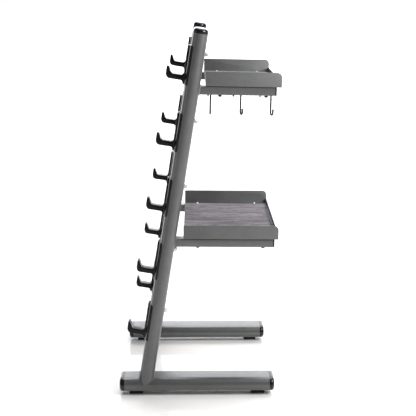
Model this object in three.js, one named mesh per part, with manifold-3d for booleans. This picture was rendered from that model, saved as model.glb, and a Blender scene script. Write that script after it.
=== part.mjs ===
// Bar and accessory storage rack: two leaning uprights on flat-oval feet, five pairs of
// J-hook brackets at the front, two open-fronted trays and six swivel hooks at the rear.
// Millimetres. X is the rack's width, -Y its front (hook side), +Y its rear, +Z up.

import * as THREE from "three";
import { mergeVertices } from "three/addons/utils/BufferGeometryUtils.js";
import Module from "manifold-3d";

const wasm = await Module();
wasm.setup();

// ---- driving dimensions ----------------------------------------------------------------

const TRACK = 635; // centre to centre of the two side frames
const GAP = 0.3; // clearance left between touching pieces
const ROUND_SEGMENTS = 10; // facets round a bolt or a drilled hole
const CORNER_STEPS = 1; // two facets per step on each small corner
const MOULDED_STEPS = 2; // two facets per step on each moulded corner
const OVERCUT = 1; // how far a cutter runs past the face it opens

// Flat-oval tube of the feet and uprights: two flats joined by half-round sides.
const OVAL_WIDTH = 120;
const OVAL_DEPTH = 60;
const OVAL_WALL = 3;
const OVAL_STEPS = 5; // two facets per step on each half-round side

const PAD_HEIGHT = 16.4;
const PAD_LENGTH = 58;
const PAD_WIDTH = 52;
const PAD_CENTRE_Y = 258;
const PAD_CORNER = 6;
const FOOT_TUBE_LENGTH = 612;

// Moulded end caps.
const CAP_LENGTH = 21.5;
const CAP_ROUND = 12;
const CAP_ROUND_STEPS = 3;
const CAP_CROWN = 1.5;
const CAP_PLUG_LENGTH = 24;
const CAP_PLUG_CHAMFER = 2;

// The upright's axis meets the floor line at UPRIGHT_BASE_Y and leans to the rear.
const LEAN = THREE.MathUtils.degToRad(9.14);
const UPRIGHT_BASE_Y = -224.5;
const UPRIGHT_TOP = 1524; // along the axis, from the floor line

// J-hook brackets, measured from each hook's tip down the upright.
const HOOK_COUNT = 5;
const HOOK_TOP_TIP = 1379.4;
const HOOK_SPACING = 268.3;
const BRACKET_ABOVE_TIP = 93;
const BRACKET_BELOW_TIP = 62;
const BRACKET_FACE = 41; // front face, from the upright's axis
const BRACKET_RETURN = 22; // how far forward of the axis the side returns stop
const BRACKET_SHELL = 3; // thickness of the saddle hugging the tube
const PLATE_WIDTH = 44; // of the plate that stands proud of the saddle
const PLATE_CORNER = 3;
const HOOK_WIDTH = 40;
const HOOK_REACH = 111.7;
const HOOK_TIP_WIDTH = 8;
const HOOK_CRADLE_END = 90; // where the cradle floor meets the tip
const HOOK_TIP_ROUND = 3; // size of the small roundings on the tip
const HOOK_ROOT_DEPTH = 2; // how far the hook runs into the bracket's face
const HOOK_TIP_LEAN = 12; // how far the tip's inner side leans outwards
const HOOK_TIP_RISE = 26.5;
const HOOK_THICKNESS = 21.3;
const HOOK_TOP_FILLET = 11;
const HOOK_LOWER_FILLET = 10;
const HOOK_HEEL = 18; // length of the bevel under the tip
const HOOK_HEEL_DROP = 14.4; // height of that bevel

// Bracket bolts run through the upright from front to rear.
const BRACKET_BOLT = {
  radius: 5,
  clearance: 0.5,
  aboveTip: 67,
  headRadius: 8.5,
  headHeight: 5.3,
  washerRadius: 10,
  washerHeight: 2,
  nutAcross: 16,
  nutHeight: 8.5,
  end: 3,
};
const RECESS_RADIUS = 9.5;
const RECESS_DEPTH = 6;

// Rectangular tube of the tray arms and cross tubes.
const ARM_WIDTH = 50;
const ARM_HEIGHT = 34;
const ARM_WALL = 2.5;
const ARM_CORNER = 4;
const ARM_START_Y = -200; // ahead of the upright, where the cut to fit it begins
const ARM_END_Y = 313;

// Trays, bent from sheet.
const TRAY_WIDTH = 698;
const SHEET = 2.5;
const BEND = 4; // outside bend radius
const SIDE_LIP = 58;
const REAR_LIP = 22;
const LIP_CORNER = 19;
const FRONT_CORNER = 4;
const LIP_CORNER_STEPS = 3;
const CORNER_SLIT = 1.5;
const MAT_WIDTH = 596;
const MAT_THICKNESS = 4;
const MAT_INSET = 5;
const MAT_CORNER = 3;

const TRAY_BOLT = {
  radius: 4,
  clearance: 0.5,
  headRadius: 7,
  headHeight: 4.4,
  washerRadius: 8,
  washerHeight: 1.6,
  nutAcross: 13,
  nutHeight: 6.5,
  end: 1.5,
};

// A dome head: its rim and its flat crown, as shares of its height and radius.
const HEAD_RIM_SHARE = 0.35;
const HEAD_CROWN_SHARE = 0.55;

// Each tier's arms leave the uprights level or falling slightly to the rear.
// topZ is the height of the arm's top face at Y = 0.
const TIERS = {
  lower: { topZ: 676, slope: 0.5, front: -54, rear: 334, boltY: [5, 274] },
  upper: { topZ: 1299.8, slope: 1.2, front: 37, rear: 338, boltY: [95, 279] },
};

// Swivel hooks: bent wire hanging through the lower wall of each upper arm.
const WIRE_RADIUS = 3.5;
const WIRE_SECTION_STEPS = 4; // two sides per step round the wire
const WIRE_DROP = 80;
const WIRE_BEND = 11; // centre-line radius of the crook
const WIRE_STEPS = 26; // along the whole wire
const WIRE_TIP = 13; // straight length beyond the crook
const SWIVEL_CLEARANCE = 0.5;
const SWIVEL_HEAD_RADIUS = 6.5;
const SWIVEL_HEAD_HEIGHT = 3;
const SWIVEL_COLLAR_HEIGHT = 2;
const SWIVEL_Y = [57.5, 178, 298.5];
const SWIVEL_TURN = { right: [0, 18, 21], left: [4, -12, 8] };

// Cross tubes between the uprights, by height along the upright's axis.
const CROSS_TUBES = { upper: 1442, lower: 205 };

const SIDES = { right: 1, left: -1 };

// ---- derived sizes ---------------------------------------------------------------------

const OVAL_RADIUS = OVAL_DEPTH / 2;
const OVAL_FLAT = OVAL_WIDTH - OVAL_DEPTH;
const FOOT_MID_Z = PAD_HEIGHT + OVAL_RADIUS;
const FOOT_HALF = FOOT_TUBE_LENGTH / 2;
const QUARTER_ARC_HANDLE = (4 / 3) * (Math.SQRT2 - 1); // cubic curve that follows a quarter circle
const UPRIGHT_START = FOOT_MID_Z / Math.cos(LEAN);

// ---- materials -------------------------------------------------------------------------

const paint = (color, roughness, metalness) =>
  new THREE.MeshStandardMaterial({ color, roughness, metalness });
const MATERIALS = {
  frame: paint(0x6d706f, 0.45, 0.3),
  tray: paint(0x656867, 0.5, 0.3),
  cap: paint(0x121214, 0.3, 0),
  bracket: paint(0x17171b, 0.35, 0),
  rubber: paint(0x0d0d0d, 0.85, 0),
  mat: paint(0x77727a, 0.9, 0),
  zinc: paint(0xc9ccd0, 0.3, 1),
  wire: paint(0x3b3d40, 0.4, 0.8),
};

// ---- solids ----------------------------------------------------------------------------

// A closed geometry as a solid that can be joined and cut.
function toSolid(geometry) {
  const bare = geometry.clone();
  bare.deleteAttribute("normal");
  bare.deleteAttribute("uv");
  const merged = mergeVertices(bare, 1e-4);
  const mesh = new wasm.Mesh({
    numProp: 3,
    vertProperties: new Float32Array(merged.attributes.position.array),
    triVerts: new Uint32Array(merged.index.array),
  });
  return new wasm.Manifold(mesh);
}

function toGeometry(solid) {
  const mesh = solid.getMesh();
  const geometry = new THREE.BufferGeometry();
  geometry.setAttribute("position", new THREE.BufferAttribute(new Float32Array(mesh.vertProperties), 3));
  geometry.setIndex(Array.from(mesh.triVerts));
  geometry.computeVertexNormals();
  return geometry;
}

function join(first, ...others) {
  return toGeometry(others.reduce((sum, other) => sum.add(toSolid(other)), toSolid(first)));
}

function cut(first, ...others) {
  return toGeometry(others.reduce((rest, other) => rest.subtract(toSolid(other)), toSolid(first)));
}

function piece(name, geometry, material) {
  const mesh = new THREE.Mesh(geometry, material);
  mesh.name = name;
  return mesh;
}

// A group whose own frame is turned about X and placed at a point.
function turnedGroup(angle, x, y, z) {
  const group = new THREE.Group();
  group.rotation.x = angle;
  group.position.set(x, y, z);
  return group;
}

// ---- outlines and prisms ---------------------------------------------------------------

const extrude = (shape, depth, curveSegments = OVAL_STEPS) =>
  new THREE.ExtrudeGeometry(shape, { depth, bevelEnabled: false, curveSegments });

// Prism of an outline drawn in X, Y from z0 to z1.
const alongZ = (shape, z0, z1, steps) => extrude(shape, z1 - z0, steps).translate(0, 0, z0);

// Prism of an outline drawn in X, Z from y0 to y1.
const alongY = (shape, y0, y1, steps) =>
  extrude(shape, y1 - y0, steps).rotateX(Math.PI / 2).translate(0, y1, 0);

// Prism of an outline drawn in Y, Z from x0 to x1.
function alongX(shape, x0, x1, steps) {
  const turn = new THREE.Matrix4().makeBasis(
    new THREE.Vector3(0, 1, 0),
    new THREE.Vector3(0, 0, 1),
    new THREE.Vector3(1, 0, 0),
  );
  return extrude(shape, x1 - x0, steps).applyMatrix4(turn).translate(x0, 0, 0);
}

// Flat-oval outline, shrunk by an inset or grown by a negative one.
function oval(inset, centreY = 0, path = new THREE.Shape()) {
  const radius = OVAL_RADIUS - inset;
  const half = OVAL_FLAT / 2;
  path.absarc(half, centreY, radius, -Math.PI / 2, Math.PI / 2, false);
  path.absarc(-half, centreY, radius, Math.PI / 2, (3 * Math.PI) / 2, false);
  path.closePath();
  return path;
}

// Section of the flat-oval tube.
function ovalTube(centreY = 0) {
  const shape = oval(0, centreY);
  shape.holes.push(oval(OVAL_WALL, centreY, new THREE.Path()));
  return shape;
}

// Rectangle with rounded corners about a centre, width along x and height along y.
function roundedBox(width, height, corner, centreY = 0, path = new THREE.Shape()) {
  const x = width / 2 - corner;
  const y = height / 2 - corner;
  path.absarc(x, centreY - y, corner, -Math.PI / 2, 0, false);
  path.absarc(x, centreY + y, corner, 0, Math.PI / 2, false);
  path.absarc(-x, centreY + y, corner, Math.PI / 2, Math.PI, false);
  path.absarc(-x, centreY - y, corner, Math.PI, (3 * Math.PI) / 2, false);
  path.closePath();
  return path;
}

// Section of the rectangular tube.
function boxTube(width, height, centreY = 0) {
  const shape = roundedBox(width, height, ARM_CORNER, centreY);
  const bore = roundedBox(
    width - 2 * ARM_WALL,
    height - 2 * ARM_WALL,
    ARM_CORNER - ARM_WALL,
    centreY,
    new THREE.Path(),
  );
  shape.holes.push(bore);
  return shape;
}

// Round bar along Z.
function rod(radius, z0, z1, segments = ROUND_SEGMENTS) {
  const height = z1 - z0;
  const bar = new THREE.CylinderGeometry(radius, radius, height, segments);
  return bar.rotateX(Math.PI / 2).translate(0, 0, z0 + height / 2);
}

// Round bar along Y.
const rodAlongY = (radius, y0, y1) => rod(radius, -y1, -y0).rotateX(Math.PI / 2);

// Closed skin through rings of equal point count, from the first ring to the last.
function loft(rings) {
  const count = rings[0].length;
  const positions = rings.flat().flatMap((p) => [p.x, p.y, p.z]);
  const index = [];
  for (let r = 0; r < rings.length - 1; r += 1) {
    for (let i = 0; i < count; i += 1) {
      const a = r * count + i;
      const b = r * count + ((i + 1) % count);
      index.push(a, b, b + count, a, b + count, a + count);
    }
  }
  const last = (rings.length - 1) * count;
  for (let i = 1; i < count - 1; i += 1) {
    index.push(0, i + 1, i);
    index.push(last, last + i, last + i + 1);
  }
  const geometry = new THREE.BufferGeometry();
  geometry.setAttribute("position", new THREE.Float32BufferAttribute(positions, 3));
  geometry.setIndex(index);
  geometry.computeVertexNormals();
  return geometry;
}

// ---- end caps --------------------------------------------------------------------------

// Cap with its shoulder at z = GAP, its crown above it and its plug below.
function ovalCap() {
  const plugInset = OVAL_WALL + GAP;
  const sections = [
    [-CAP_PLUG_LENGTH, plugInset + CAP_PLUG_CHAMFER],
    [-CAP_PLUG_LENGTH + CAP_PLUG_CHAMFER, plugInset],
    [GAP, plugInset],
    [GAP, 0],
  ];
  for (let i = 0; i <= CAP_ROUND_STEPS; i += 1) {
    const angle = (i / CAP_ROUND_STEPS) * (Math.PI / 2);
    const z = CAP_LENGTH - CAP_CROWN - CAP_ROUND + CAP_ROUND * Math.sin(angle);
    sections.push([z, CAP_ROUND * (1 - Math.cos(angle))]);
  }
  sections.push([CAP_LENGTH, OVAL_RADIUS - 2 * CAP_CROWN]);
  return loft(
    sections.map(([z, inset]) =>
      oval(inset)
        .extractPoints(OVAL_STEPS)
        .shape.slice(0, -1)
        .map((p) => new THREE.Vector3(p.x, p.y, z)),
    ),
  );
}

const CAP_GEOMETRY = ovalCap();

// ---- bolts -----------------------------------------------------------------------------

// Bolt with its washer and nut done up. The underside of the head is at z = 0, the shank
// runs down to the washer at z = -grip, and the nut is below the washer.
function boltWithNut(bolt, grip) {
  const nutBottom = -grip - bolt.washerHeight - bolt.nutHeight;
  const headRim = bolt.headHeight * HEAD_RIM_SHARE;
  const profile = [
    [0, nutBottom - bolt.end],
    [bolt.radius, nutBottom - bolt.end],
    [bolt.radius, -grip - bolt.washerHeight],
    [bolt.washerRadius, -grip - bolt.washerHeight],
    [bolt.washerRadius, -grip],
    [bolt.radius, -grip],
    [bolt.radius, 0],
    [bolt.headRadius, 0],
    [bolt.headRadius, headRim],
    [bolt.headRadius * HEAD_CROWN_SHARE, bolt.headHeight],
    [0, bolt.headHeight],
  ];
  const turned = new THREE.LatheGeometry(
    profile.map(([r, z]) => new THREE.Vector2(r, z)),
    ROUND_SEGMENTS,
  ).rotateX(Math.PI / 2);
  const corner = bolt.nutAcross / Math.sqrt(3);
  const nut = rod(corner, nutBottom, -grip - bolt.washerHeight / 2, 6);
  return join(turned, nut);
}

// ---- feet ------------------------------------------------------------------------------

function foot(side, x) {
  const group = new THREE.Group();
  group.position.set(x, 0, 0);
  const tube = alongY(ovalTube(FOOT_MID_Z), -FOOT_HALF, FOOT_HALF);
  group.add(piece(`foot_${side}`, tube, MATERIALS.frame));
  const ends = { front: -1, rear: 1 };
  for (const [end, sign] of Object.entries(ends)) {
    const cap = piece(`foot_cap_${end}_${side}`, CAP_GEOMETRY, MATERIALS.cap);
    cap.rotation.x = -sign * (Math.PI / 2);
    cap.position.set(0, sign * FOOT_HALF, FOOT_MID_Z);
    group.add(cap);
    const padShape = roundedBox(PAD_WIDTH, PAD_LENGTH, PAD_CORNER, sign * PAD_CENTRE_Y);
    const pad = alongZ(padShape, 0, PAD_HEIGHT - GAP, CORNER_STEPS);
    group.add(piece(`foot_pad_${end}_${side}`, pad, MATERIALS.rubber));
  }
  return group;
}

// ---- uprights --------------------------------------------------------------------------

const hookTip = (number) => HOOK_TOP_TIP - (number - 1) * HOOK_SPACING;

// The upright's own frame: z along its axis from the floor line, -y out of its front face.
const uprightGroup = (x) => turnedGroup(-LEAN, x, UPRIGHT_BASE_Y, 0);

// Flat-oval tube, coped over the foot and drilled for the bracket bolts.
function uprightTube() {
  const footShape = alongY(oval(-GAP, FOOT_MID_Z), -FOOT_HALF, FOOT_HALF);
  const saddle = footShape.translate(0, -UPRIGHT_BASE_Y, 0).rotateX(LEAN);
  const holes = [];
  for (let number = 1; number <= HOOK_COUNT; number += 1) {
    const hole = rodAlongY(BRACKET_BOLT.radius + BRACKET_BOLT.clearance, -OVAL_DEPTH, OVAL_DEPTH);
    holes.push(hole.translate(0, 0, hookTip(number) + BRACKET_BOLT.aboveTip));
  }
  return cut(alongZ(ovalTube(), UPRIGHT_START, UPRIGHT_TOP), saddle, ...holes);
}

const UPRIGHT_GEOMETRY = uprightTube();

function upright(side, x) {
  const group = uprightGroup(x);
  group.add(piece(`upright_${side}`, UPRIGHT_GEOMETRY, MATERIALS.frame));
  const cap = piece(`upright_cap_${side}`, CAP_GEOMETRY, MATERIALS.cap);
  cap.position.set(0, 0, UPRIGHT_TOP);
  group.add(cap);
  return group;
}

// ---- J-hook brackets -------------------------------------------------------------------

// Section in X and -Y: a shell round the front of the flat-oval tube, with a plate proud of it.
function saddleSection() {
  const shape = new THREE.Shape();
  const half = OVAL_FLAT / 2;
  const inner = OVAL_RADIUS + GAP;
  const outer = inner + BRACKET_SHELL;
  const innerAngle = Math.asin(BRACKET_RETURN / inner);
  const outerAngle = Math.asin(BRACKET_RETURN / outer);
  const plate = PLATE_WIDTH / 2;
  const cornerX = plate - PLATE_CORNER;
  const cornerY = BRACKET_FACE - PLATE_CORNER;
  shape.absarc(half, 0, outer, -outerAngle, -Math.PI / 2, true);
  shape.lineTo(plate, -outer);
  shape.absarc(cornerX, -cornerY, PLATE_CORNER, 0, -Math.PI / 2, true);
  shape.absarc(-cornerX, -cornerY, PLATE_CORNER, -Math.PI / 2, -Math.PI, true);
  shape.lineTo(-plate, -outer);
  shape.absarc(-half, 0, outer, -Math.PI / 2, -Math.PI + outerAngle, true);
  shape.absarc(-half, 0, inner, -Math.PI + innerAngle, -Math.PI / 2, false);
  shape.absarc(half, 0, inner, -Math.PI / 2, -innerAngle, false);
  shape.closePath();
  return shape;
}

// Side outline of the hook in Y and Z, with its tip's top at z = 0.
function hookOutline() {
  const root = BRACKET_FACE - HOOK_ROOT_DEPTH;
  const floor = -HOOK_TIP_RISE;
  const under = floor - HOOK_THICKNESS;
  const heelTop = under + HOOK_HEEL_DROP;
  const tipInner = HOOK_CRADLE_END + HOOK_TIP_LEAN;
  const round = HOOK_TIP_ROUND;
  const topCentre = [BRACKET_FACE + HOOK_TOP_FILLET, floor + HOOK_TOP_FILLET];
  const lowCentre = [BRACKET_FACE + HOOK_LOWER_FILLET, under - HOOK_LOWER_FILLET];
  const shape = new THREE.Shape();
  shape.moveTo(-root, topCentre[1]);
  shape.lineTo(-BRACKET_FACE, topCentre[1]);
  shape.absarc(-topCentre[0], topCentre[1], HOOK_TOP_FILLET, 0, -Math.PI / 2, true);
  shape.lineTo(-(HOOK_CRADLE_END - round), floor);
  shape.lineTo(-(HOOK_CRADLE_END + round), floor + round);
  shape.lineTo(-tipInner, -round);
  shape.quadraticCurveTo(-(tipInner + round / 2), 0, -(tipInner + HOOK_TIP_WIDTH / 2), 0);
  shape.quadraticCurveTo(-HOOK_REACH, 0, -HOOK_REACH, -2 * round);
  shape.lineTo(-HOOK_REACH, heelTop);
  shape.quadraticCurveTo(-(HOOK_REACH - round), under + round, -(HOOK_REACH - HOOK_HEEL), under);
  shape.lineTo(-lowCentre[0], under);
  shape.absarc(-lowCentre[0], lowCentre[1], HOOK_LOWER_FILLET, Math.PI / 2, 0, true);
  shape.lineTo(-root, lowCentre[1]);
  shape.closePath();
  return shape;
}

function hookBracket() {
  const saddle = alongZ(saddleSection(), -BRACKET_BELOW_TIP, BRACKET_ABOVE_TIP, MOULDED_STEPS);
  const hook = alongX(hookOutline(), -HOOK_WIDTH / 2, HOOK_WIDTH / 2, MOULDED_STEPS);
  const boltZ = BRACKET_BOLT.aboveTip;
  const boltRadius = BRACKET_BOLT.radius + BRACKET_BOLT.clearance;
  const ahead = -BRACKET_FACE - OVERCUT;
  const hole = rodAlongY(boltRadius, ahead, 0).translate(0, 0, boltZ);
  const recess = rodAlongY(RECESS_RADIUS, ahead, -BRACKET_FACE + RECESS_DEPTH);
  return cut(join(saddle, hook), hole, recess.translate(0, 0, boltZ));
}

const BRACKET_GEOMETRY = hookBracket();
const BRACKET_HEAD_Y = BRACKET_FACE - RECESS_DEPTH + GAP; // underside of the bolt's head
const BRACKET_BOLT_GEOMETRY = boltWithNut(BRACKET_BOLT, BRACKET_HEAD_Y + OVAL_RADIUS + GAP);

function hookBrackets(side, x) {
  const group = uprightGroup(x);
  for (let number = 1; number <= HOOK_COUNT; number += 1) {
    const bracket = piece(`hook_bracket_${side}_${number}`, BRACKET_GEOMETRY, MATERIALS.bracket);
    bracket.position.set(0, 0, hookTip(number));
    const bolt = piece(`bracket_bolt_${side}_${number}`, BRACKET_BOLT_GEOMETRY, MATERIALS.zinc);
    bolt.rotation.x = Math.PI / 2;
    bolt.position.set(0, -BRACKET_HEAD_Y, hookTip(number) + BRACKET_BOLT.aboveTip);
    group.add(bracket, bolt);
  }
  return group;
}

// ---- cross tubes -----------------------------------------------------------------------

// Rectangular tube between the uprights, coped to their half-round inner sides.
function crossTube(name, height) {
  const group = uprightGroup(0);
  const reach = (TRACK - OVAL_FLAT) / 2;
  const tube = alongX(boxTube(ARM_HEIGHT, ARM_WIDTH, height), -reach, reach, CORNER_STEPS);
  const uprights = Object.values(SIDES).map((sign) =>
    alongZ(oval(-GAP), height - ARM_WIDTH, height + ARM_WIDTH).translate((sign * TRACK) / 2, 0, 0),
  );
  group.add(piece(name, cut(tube, ...uprights), MATERIALS.frame));
  return group;
}

// ---- tray arms -------------------------------------------------------------------------

// A tier's own frame: y to the rear along the arms, z = 0 on the arms' top faces.
function tierGroup(tier, x) {
  return turnedGroup(-THREE.MathUtils.degToRad(tier.slope), x, 0, tier.topZ);
}

// Box that holds everything ahead of the upright's rear face, in a tier's frame.
function uprightCutter(tier) {
  const reach = -2 * ARM_START_Y;
  const box = new THREE.BoxGeometry(OVAL_WIDTH, reach, reach);
  box.translate(0, OVAL_RADIUS + GAP - reach / 2, 0).rotateX(-LEAN);
  const axisY = UPRIGHT_BASE_Y + tier.topZ * Math.tan(LEAN);
  box.translate(0, axisY, 0);
  return box.rotateX(THREE.MathUtils.degToRad(tier.slope));
}

function arm(tier, swivelHoles) {
  const section = boxTube(ARM_WIDTH, ARM_HEIGHT, -ARM_HEIGHT / 2);
  const tube = alongY(section, ARM_START_Y, ARM_END_Y, CORNER_STEPS);
  const below = -ARM_HEIGHT - OVERCUT;
  const boltRadius = TRAY_BOLT.radius + TRAY_BOLT.clearance;
  const boltHoles = tier.boltY.map((y) => rod(boltRadius, below, OVERCUT).translate(0, y, 0));
  const swivelRadius = WIRE_RADIUS + SWIVEL_CLEARANCE;
  const lowerWall = -ARM_HEIGHT + ARM_WALL + OVERCUT;
  const wireHoles = swivelHoles.map((y) => rod(swivelRadius, below, lowerWall).translate(0, y, 0));
  return cut(tube, uprightCutter(tier), ...boltHoles, ...wireHoles);
}

// ---- trays -----------------------------------------------------------------------------

// Floor and side lips as one U section in X and Z, bottom face at z = GAP.
function traySection() {
  const outer = TRAY_WIDTH / 2;
  const base = GAP;
  const top = base + SIDE_LIP;
  const inner = BEND - SHEET;
  const shape = new THREE.Shape();
  shape.moveTo(-outer, top);
  shape.absarc(-outer + BEND, base + BEND, BEND, Math.PI, (3 * Math.PI) / 2, false);
  shape.absarc(outer - BEND, base + BEND, BEND, -Math.PI / 2, 0, false);
  shape.lineTo(outer, top);
  shape.lineTo(outer - SHEET, top);
  shape.absarc(outer - BEND, base + BEND, inner, 0, -Math.PI / 2, true);
  shape.absarc(-outer + BEND, base + BEND, inner, (3 * Math.PI) / 2, Math.PI, true);
  shape.lineTo(-outer + SHEET, top);
  shape.closePath();
  return shape;
}

// Rear edge of the floor turned up into the low rear lip, in Y and Z.
function rearLipSection(rear) {
  const base = GAP;
  const inner = BEND - SHEET;
  const start = rear - BEND - CORNER_SLIT - OVERCUT;
  const shape = new THREE.Shape();
  shape.moveTo(start, base);
  shape.absarc(rear - BEND, base + BEND, BEND, -Math.PI / 2, 0, false);
  shape.lineTo(rear, base + REAR_LIP);
  shape.lineTo(rear - SHEET, base + REAR_LIP);
  shape.absarc(rear - BEND, base + BEND, inner, 0, -Math.PI / 2, true);
  shape.lineTo(start, base + SHEET);
  shape.closePath();
  return shape;
}

// Everything outside the side lips' outline: rounded corners, in Y and Z.
function lipCornerCutters(tier) {
  const top = GAP + SIDE_LIP;
  const corners = [
    { y: tier.rear, radius: LIP_CORNER, sign: 1 },
    { y: tier.front, radius: FRONT_CORNER, sign: -1 },
  ];
  return corners.map(({ y, radius, sign }) => {
    const shape = new THREE.Shape();
    const centreY = y - sign * radius;
    const outside = y + sign * OVERCUT;
    shape.moveTo(outside, top + OVERCUT);
    shape.lineTo(outside, top - radius);
    shape.lineTo(y, top - radius);
    const from = sign > 0 ? 0 : Math.PI;
    shape.absarc(centreY, top - radius, radius, from, Math.PI / 2, sign < 0);
    shape.lineTo(centreY, top + OVERCUT);
    shape.closePath();
    return alongX(shape, -TRAY_WIDTH, TRAY_WIDTH, LIP_CORNER_STEPS);
  });
}

function tray(tier) {
  const clear = TRAY_WIDTH / 2 - BEND - CORNER_SLIT;
  const body = alongY(traySection(), tier.front, tier.rear, CORNER_STEPS);
  const slotSize = BEND + CORNER_SLIT + 2 * OVERCUT;
  const slot = new THREE.BoxGeometry(TRAY_WIDTH - 2 * BEND, slotSize, slotSize);
  slot.translate(0, tier.rear - BEND - CORNER_SLIT + slotSize / 2, GAP + slotSize / 2 - OVERCUT);
  const rearLip = alongX(rearLipSection(tier.rear), -clear, clear, CORNER_STEPS);
  const boltRadius = TRAY_BOLT.radius + TRAY_BOLT.clearance;
  const holes = [];
  for (const sign of Object.values(SIDES)) {
    for (const y of tier.boltY) {
      holes.push(rod(boltRadius, -OVERCUT, BEND + OVERCUT).translate((sign * TRACK) / 2, y, 0));
    }
  }
  const bent = join(cut(body, slot), rearLip);
  return cut(bent, ...lipCornerCutters(tier), ...holes);
}

function mat(tier) {
  const bottom = GAP + SHEET + GAP;
  const front = tier.front + MAT_INSET;
  const rear = tier.rear - BEND - MAT_INSET;
  const shape = roundedBox(MAT_WIDTH, rear - front, MAT_CORNER, (front + rear) / 2);
  return alongZ(shape, bottom, bottom + MAT_THICKNESS, CORNER_STEPS);
}

// ---- swivel hooks ----------------------------------------------------------------------

// Centre line of the wire in X and Z, in the arm's frame: down, round and up to the tip.
function wirePath(top) {
  const bottom = -ARM_HEIGHT - WIRE_DROP + WIRE_RADIUS;
  const level = bottom + WIRE_BEND;
  const handle = WIRE_BEND * QUARTER_ARC_HANDLE;
  const point = (x, z) => new THREE.Vector3(x, 0, z);
  const lowest = point(WIRE_BEND, bottom);
  const down = [point(0, level - handle), point(WIRE_BEND - handle, bottom)];
  const up = [point(WIRE_BEND + handle, bottom), point(2 * WIRE_BEND, level - handle)];
  const rise = point(2 * WIRE_BEND, level);
  const path = new THREE.CurvePath();
  path.add(new THREE.LineCurve3(point(0, top), point(0, level)));
  path.add(new THREE.CubicBezierCurve3(point(0, level), ...down, lowest));
  path.add(new THREE.CubicBezierCurve3(lowest, ...up, rise));
  path.add(new THREE.LineCurve3(rise, point(2 * WIRE_BEND, level + WIRE_TIP)));
  return path;
}

// J of bent wire opening outwards (+X), held by a head inside the arm and a collar below.
function swivelHook() {
  const headZ = -ARM_HEIGHT + ARM_WALL + GAP;
  const collarTop = -ARM_HEIGHT - GAP;
  const section = new THREE.Shape();
  section.absarc(0, 0, WIRE_RADIUS, 0, 2 * Math.PI, false);
  const wire = new THREE.ExtrudeGeometry(section, {
    extrudePath: wirePath(headZ + OVERCUT),
    steps: WIRE_STEPS,
    curveSegments: WIRE_SECTION_STEPS,
  });
  const head = rod(SWIVEL_HEAD_RADIUS, headZ, headZ + SWIVEL_HEAD_HEIGHT);
  const collar = rod(SWIVEL_HEAD_RADIUS, collarTop - SWIVEL_COLLAR_HEIGHT, collarTop);
  return join(wire, head, collar);
}

const SWIVEL_GEOMETRY = swivelHook();

function swivelHooks(side, sign) {
  return SWIVEL_Y.map((y, i) => {
    const hook = piece(`swivel_hook_${side}_${i + 1}`, SWIVEL_GEOMETRY, MATERIALS.wire);
    const turn = THREE.MathUtils.degToRad(SWIVEL_TURN[side][i]);
    hook.rotation.z = sign > 0 ? turn : Math.PI - turn;
    hook.position.set((sign * TRACK) / 2, y, 0);
    return hook;
  });
}

// ---- tiers -----------------------------------------------------------------------------

function tierPieces(name, tier) {
  const group = tierGroup(tier, 0);
  const isUpper = name === "upper";
  const armGeometry = arm(tier, isUpper ? SWIVEL_Y : []);
  const bolt = boltWithNut(TRAY_BOLT, GAP + SHEET + GAP + ARM_HEIGHT + GAP);
  for (const [side, sign] of Object.entries(SIDES)) {
    const x = (sign * TRACK) / 2;
    const armPiece = piece(`${name}_arm_${side}`, armGeometry, MATERIALS.frame);
    armPiece.position.set(x, 0, 0);
    group.add(armPiece);
    tier.boltY.forEach((y, i) => {
      const end = ["front", "rear"][i];
      const boltPiece = piece(`${name}_tray_bolt_${end}_${side}`, bolt, MATERIALS.zinc);
      boltPiece.position.set(x, y, GAP + SHEET + GAP);
      group.add(boltPiece);
    });
    if (isUpper) {
      group.add(...swivelHooks(side, sign));
    }
  }
  group.add(piece(`${name}_tray`, tray(tier), MATERIALS.tray));
  group.add(piece(`${name}_mat`, mat(tier), MATERIALS.mat));
  return group;
}

// ---- the rack --------------------------------------------------------------------------

const rack = new THREE.Group();
rack.name = "storage_rack";
for (const [side, sign] of Object.entries(SIDES)) {
  const x = (sign * TRACK) / 2;
  rack.add(foot(side, x), upright(side, x), hookBrackets(side, x));
}
for (const [name, height] of Object.entries(CROSS_TUBES)) {
  rack.add(crossTube(`${name}_cross_tube`, height));
}
for (const [name, tier] of Object.entries(TIERS)) {
  rack.add(tierPieces(name, tier));
}

// Put the origin under the centre of the whole rack's outline.
rack.updateMatrixWorld(true);
const outline = new THREE.Box3().setFromObject(rack, true);
rack.position.y = -(outline.min.y + outline.max.y) / 2;

export default rack;
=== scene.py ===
"""Looks for the bar and accessory storage rack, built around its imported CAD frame.

Metres, in the frame's own axes: X across the rack, -Y its hook side, +Y its tray side, +Z up.
Apart from the turns of its wire hooks the rack is symmetric about X = 0; right means +X.
"""

import math

import bmesh
import bpy
from mathutils import Matrix, Vector


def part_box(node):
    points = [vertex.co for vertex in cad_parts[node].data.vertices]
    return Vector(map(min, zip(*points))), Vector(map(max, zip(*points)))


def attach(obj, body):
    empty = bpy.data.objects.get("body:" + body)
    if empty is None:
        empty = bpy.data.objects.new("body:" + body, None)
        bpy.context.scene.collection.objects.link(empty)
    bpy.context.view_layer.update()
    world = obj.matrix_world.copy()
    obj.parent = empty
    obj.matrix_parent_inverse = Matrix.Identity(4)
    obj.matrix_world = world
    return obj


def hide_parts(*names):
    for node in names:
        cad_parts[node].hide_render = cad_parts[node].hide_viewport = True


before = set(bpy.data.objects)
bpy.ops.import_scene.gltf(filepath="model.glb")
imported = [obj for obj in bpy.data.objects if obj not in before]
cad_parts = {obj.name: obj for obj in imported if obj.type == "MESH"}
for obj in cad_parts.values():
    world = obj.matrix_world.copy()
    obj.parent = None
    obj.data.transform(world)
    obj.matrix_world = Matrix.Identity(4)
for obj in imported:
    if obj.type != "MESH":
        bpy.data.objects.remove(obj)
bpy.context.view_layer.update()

# ---- sizes and places taken from the frame -----------------------------------------------

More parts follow.
